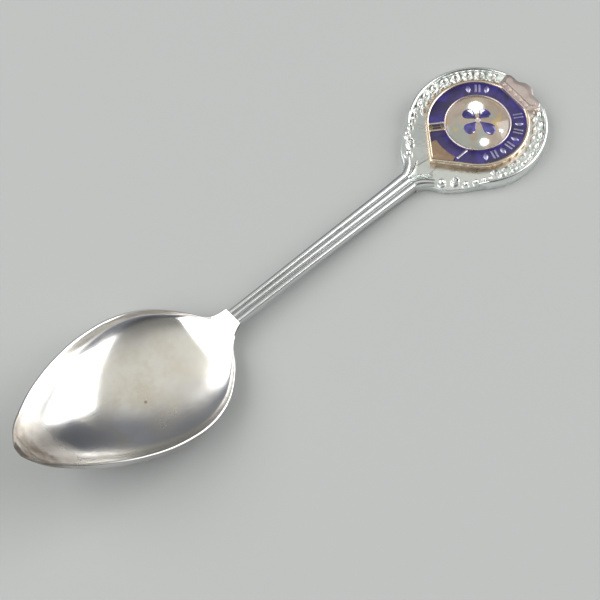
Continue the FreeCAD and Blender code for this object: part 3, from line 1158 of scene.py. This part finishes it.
def coronet_pieces(frame_metal, fill, drop):
    """Coronet body with two rails across its foot, its enamel, and a row of round drops."""
    build = Build()
    slab(build, coronet_outline(0.0), PLATE_T, PLATE_T + CROWN_H - 0.10, 0.16, 4)
    for r in (CROWN_IN + 0.14, CROWN_IN + 1.10):
        x, y = crown_place(r, 0)
        turned_box(build, x, y, CROWN_RAIL, PLATE_T + 1.3, PLATE_T + CROWN_H, CROWN_TURN, 0.10)
    build.make("coronet_body", frame_metal, "coronet_frame", sharp=50)
    build = Build()
    slab(build, coronet_outline(0.50), PLATE_T + CROWN_H - 0.35, PLATE_T + CROWN_H + 0.06, 0.12, 4)
    build.make("coronet_fill", fill, "coronet_enamel", sharp=60)
    build = Build()
    for k in range(-2, 3):
        x, y = crown_place(CROWN_IN + 0.62, k * CROWN_HALF * 0.32)
        bead(build, x, y, PLATE_T + CROWN_H - 0.10, 0.40, 0.46)
    build.make("coronet_drops", drop, "coronet_pearls", sharp=60)


# ------------------------------------------------------------------ put it together

bowl_mat = bowl_silver()
stem_mat = stem_silver()
head_mat = head_silver("head_silver", (0.60, 0.66, 0.62), (0.95, 0.97, 0.95), 0.24, 0.38, 0.40)
bead_mat = head_silver("bead_silver", (0.34, 0.39, 0.37), (1.0, 1.0, 0.99), 0.24, 0.32, 0.08)
line_mat = head_silver("line_silver", (0.60, 0.64, 0.62), (0.97, 0.98, 0.96), 0.20, 0.28, 0.08)
pale_gold = gilt_metal("pale_gold", (0.93, 0.80, 0.62), (0.72, 0.55, 0.40), 0.20)
old_gold = gilt_metal("old_gold", (0.88, 0.70, 0.50), (0.60, 0.42, 0.28), 0.20)
# copper tone of the badge's base, darkened with painted shade for its side wall
shaded_copper_side = gilt_metal("shaded_copper_side", (0.62, 0.44, 0.30), (0.36, 0.22, 0.14), 0.26)
copper = gilt_metal("worn_copper", (0.80, 0.69, 0.65), (0.52, 0.42, 0.38), 0.26)
ring_metal = gilt_metal("ring_metal", (0.72, 0.64, 0.62), (0.44, 0.36, 0.40), 0.24)
pale_metal = gilt_metal("pale_gilt", (0.84, 0.82, 0.80), (0.50, 0.46, 0.52), 0.20)
faded_metal = gilt_metal("faded_gilt", (0.44, 0.42, 0.60), (0.24, 0.22, 0.42), 0.30)
dark_metal = gilt_metal("dark_gilt", (0.36, 0.28, 0.18), (0.07, 0.05, 0.05), 0.24)
blue = enamel("blue_enamel", (0.012, 0.006, 0.060), (0.035, 0.020, 0.20), 300)
petal_blue = enamel("petal_blue", (0.022, 0.018, 0.10), (0.06, 0.05, 0.24), 500)
cream = cream_enamel()
rose = enamel("rose_enamel", (0.45, 0.385, 0.34), (0.38, 0.30, 0.265), 500)
tail_copper = enamel("tail_enamel", (0.22, 0.145, 0.085), (0.36, 0.235, 0.14), 420, 0.7, 0.25)
pearl = enamel("pearl_enamel", (0.66, 0.54, 0.47), (0.56, 0.42, 0.36), 800)

bowl_piece(bowl_mat)
stem_piece(stem_mat)
plate_piece(head_mat)
fork_reed_piece(1, line_mat)
fork_reed_piece(-1, line_mat)
rim_piece(line_mat)
bead_row_piece(bead_mat)
leaf_row_piece(bead_mat)
scroll_piece(1, bead_mat)
scroll_piece(-1, bead_mat)
# the badge's base carries the painted shade of its side wall
badge_base_piece(shaded_copper_side)
badge_edge_piece(pale_gold)
inner_ring_piece(ring_metal)
band_piece(blue)
tail_piece(tail_copper)
ornaments_piece(faded_metal)
buckle_pieces(pale_metal, old_gold, dark_metal)
field_piece(cream)
petal_piece(petal_blue)
boss_piece(rose)
coronet_pieces(copper, rose, pearl)


# ------------------------------------------------------------------ floor, lights, camera

# the camera's direction from the spoon, its tilt, and its distance and lens
ELEVATION = 62.39
AZIMUTH = -37.17
ROLL = -5.41
DISTANCE = 0.2391
LOOK_AT = (52.33, -5.50, 4.2)
LENS = 85.7
SENSOR = 36.0

FLOOR_HALF = 3.0
FLOOR_COLOR = (0.450, 0.460, 0.450)

ROOM_LOW = (0.195, 0.205, 0.235)
ROOM_HIGH = (0.70, 0.69, 0.64)
# sines of the heights at which the low colour starts to change and the high one is reached
ROOM_BLEND = (0.66, 0.92)
# duller patches of the room: around, elevation, radius, and strength in the middle
DULL_PATCHES = [(280, 56, 44, 0.26), (55, 14, 34, 0.55)]
PATCH_CORE = 0.3

# name, around, elevation, distance in metres, size in metres, watts
SOFTBOXES = [("softbox_left", 185, 45, 0.80, (1.38, 0.68), 7.1),
             ("softbox_right", 9, 28, 0.80, (0.82, 0.80), 6.5)]
ENAMEL_LAMPS = [("lamp_far", 77, 34, 0.60, (0.13, 0.20), 0.85),
                ("lamp_top", 24, 74, 0.60, (0.10, 0.12), 0.34),
                ("lamp_side", 32, 49, 0.60, (0.040, 0.046), 0.06)]
ENAMELLED = ("centre_dome", "petals", "flower_boss")


def floor_piece():
    mesh = bpy.data.meshes.new("floor")
    corners = [(-1, -1), (1, -1), (1, 1), (-1, 1)]
    mesh.from_pydata([(x * FLOOR_HALF, y * FLOOR_HALF, 0) for x, y in corners], [], [(0, 1, 2, 3)])
    m = Material("pale_floor")
    m.set(color=FLOOR_COLOR, metal=0.0, rough=0.9)
    mesh.materials.append(m.mat)
    place_in_scene("floor", mesh)


def view_axes():
    """The picture's right and up, and the direction back to the camera."""
    e, a, r = (math.radians(v) for v in (ELEVATION, AZIMUTH, ROLL))
    back = Vector((math.sin(a) * math.cos(e), -math.cos(a) * math.cos(e), math.sin(e)))
    right = Vector((math.cos(a), math.sin(a), 0.0))
    up = back.cross(right)
    return math.cos(r) * right + math.sin(r) * up, math.cos(r) * up - math.sin(r) * right, back


def camera():
    right, up, back = view_axes()
    data = bpy.data.cameras.new("camera")
    data.lens = LENS
    data.sensor_width = SENSOR
    data.clip_start = 0.005
    data.clip_end = 10.0
    obj = place_in_scene("camera", data)
    place = at(*LOOK_AT) + back * DISTANCE
    turn = Matrix((right, up, back)).transposed().to_4x4()
    obj.matrix_world = Matrix.Translation(place) @ turn
    bpy.context.scene.camera = obj


def toward(around, elevation):
    """Direction in the room; around is measured in plan from the picture's right."""
    a = math.radians(AZIMUTH + around)
    e = math.radians(elevation)
    return Vector((math.cos(a) * math.cos(e), math.sin(a) * math.cos(e), math.sin(e)))


def lamp(name, around, elevation, reach, size, power, only=()):
    """Area lamp aimed at the spoon from a direction in the room; only names the pieces it lights."""
    direction = toward(around, elevation)
    data = bpy.data.lights.new(name, "AREA")
    data.shape = "ELLIPSE" if only else "RECTANGLE"
    data.size, data.size_y = size
    data.energy = power
    obj = place_in_scene(name, data)
    obj.location = direction * reach
    obj.rotation_euler = direction.to_track_quat("Z", "Y").to_euler()
    if only:
        lit = bpy.data.collections.new(name + "_lights")
        for piece in bpy.data.objects:
            if piece.name in only:
                lit.objects.link(piece)
        obj.light_linking.receiver_collection = lit


def room():
    """Plain room seen by the silver: grey low down, lighter and warmer overhead, two duller patches."""
    world = bpy.data.worlds.new("room")
    world.use_nodes = True
    n = Nodes(world.node_tree)
    look = n.add("ShaderNodeTexCoord").outputs["Generated"]
    strength = 1.0
    for around, elevation, radius, dark in DULL_PATCHES:
        facing = n.vector("DOT_PRODUCT", look, toward(around, elevation))
        edge = math.cos(math.radians(radius))
        core = math.cos(math.radians(radius * PATCH_CORE))
        strength = n.math("MULTIPLY", strength, n.ramp(facing, edge, core, 1.0, dark))
    split = n.add("ShaderNodeSeparateXYZ")
    n.link(look, split.inputs[0])
    height = n.ramp(split.outputs["Z"], *ROOM_BLEND)
    background = n.tree.nodes["Background"]
    n.link(n.mix(height, ROOM_LOW, ROOM_HIGH), background.inputs["Color"])
    n.link(strength, background.inputs["Strength"])
    bpy.context.scene.world = world


floor_piece()
camera()
room()
for values in SOFTBOXES:
    lamp(*values)
for values in ENAMEL_LAMPS:
    lamp(*values, only=ENAMELLED)
bpy.context.scene.view_settings.view_transform = "Standard"
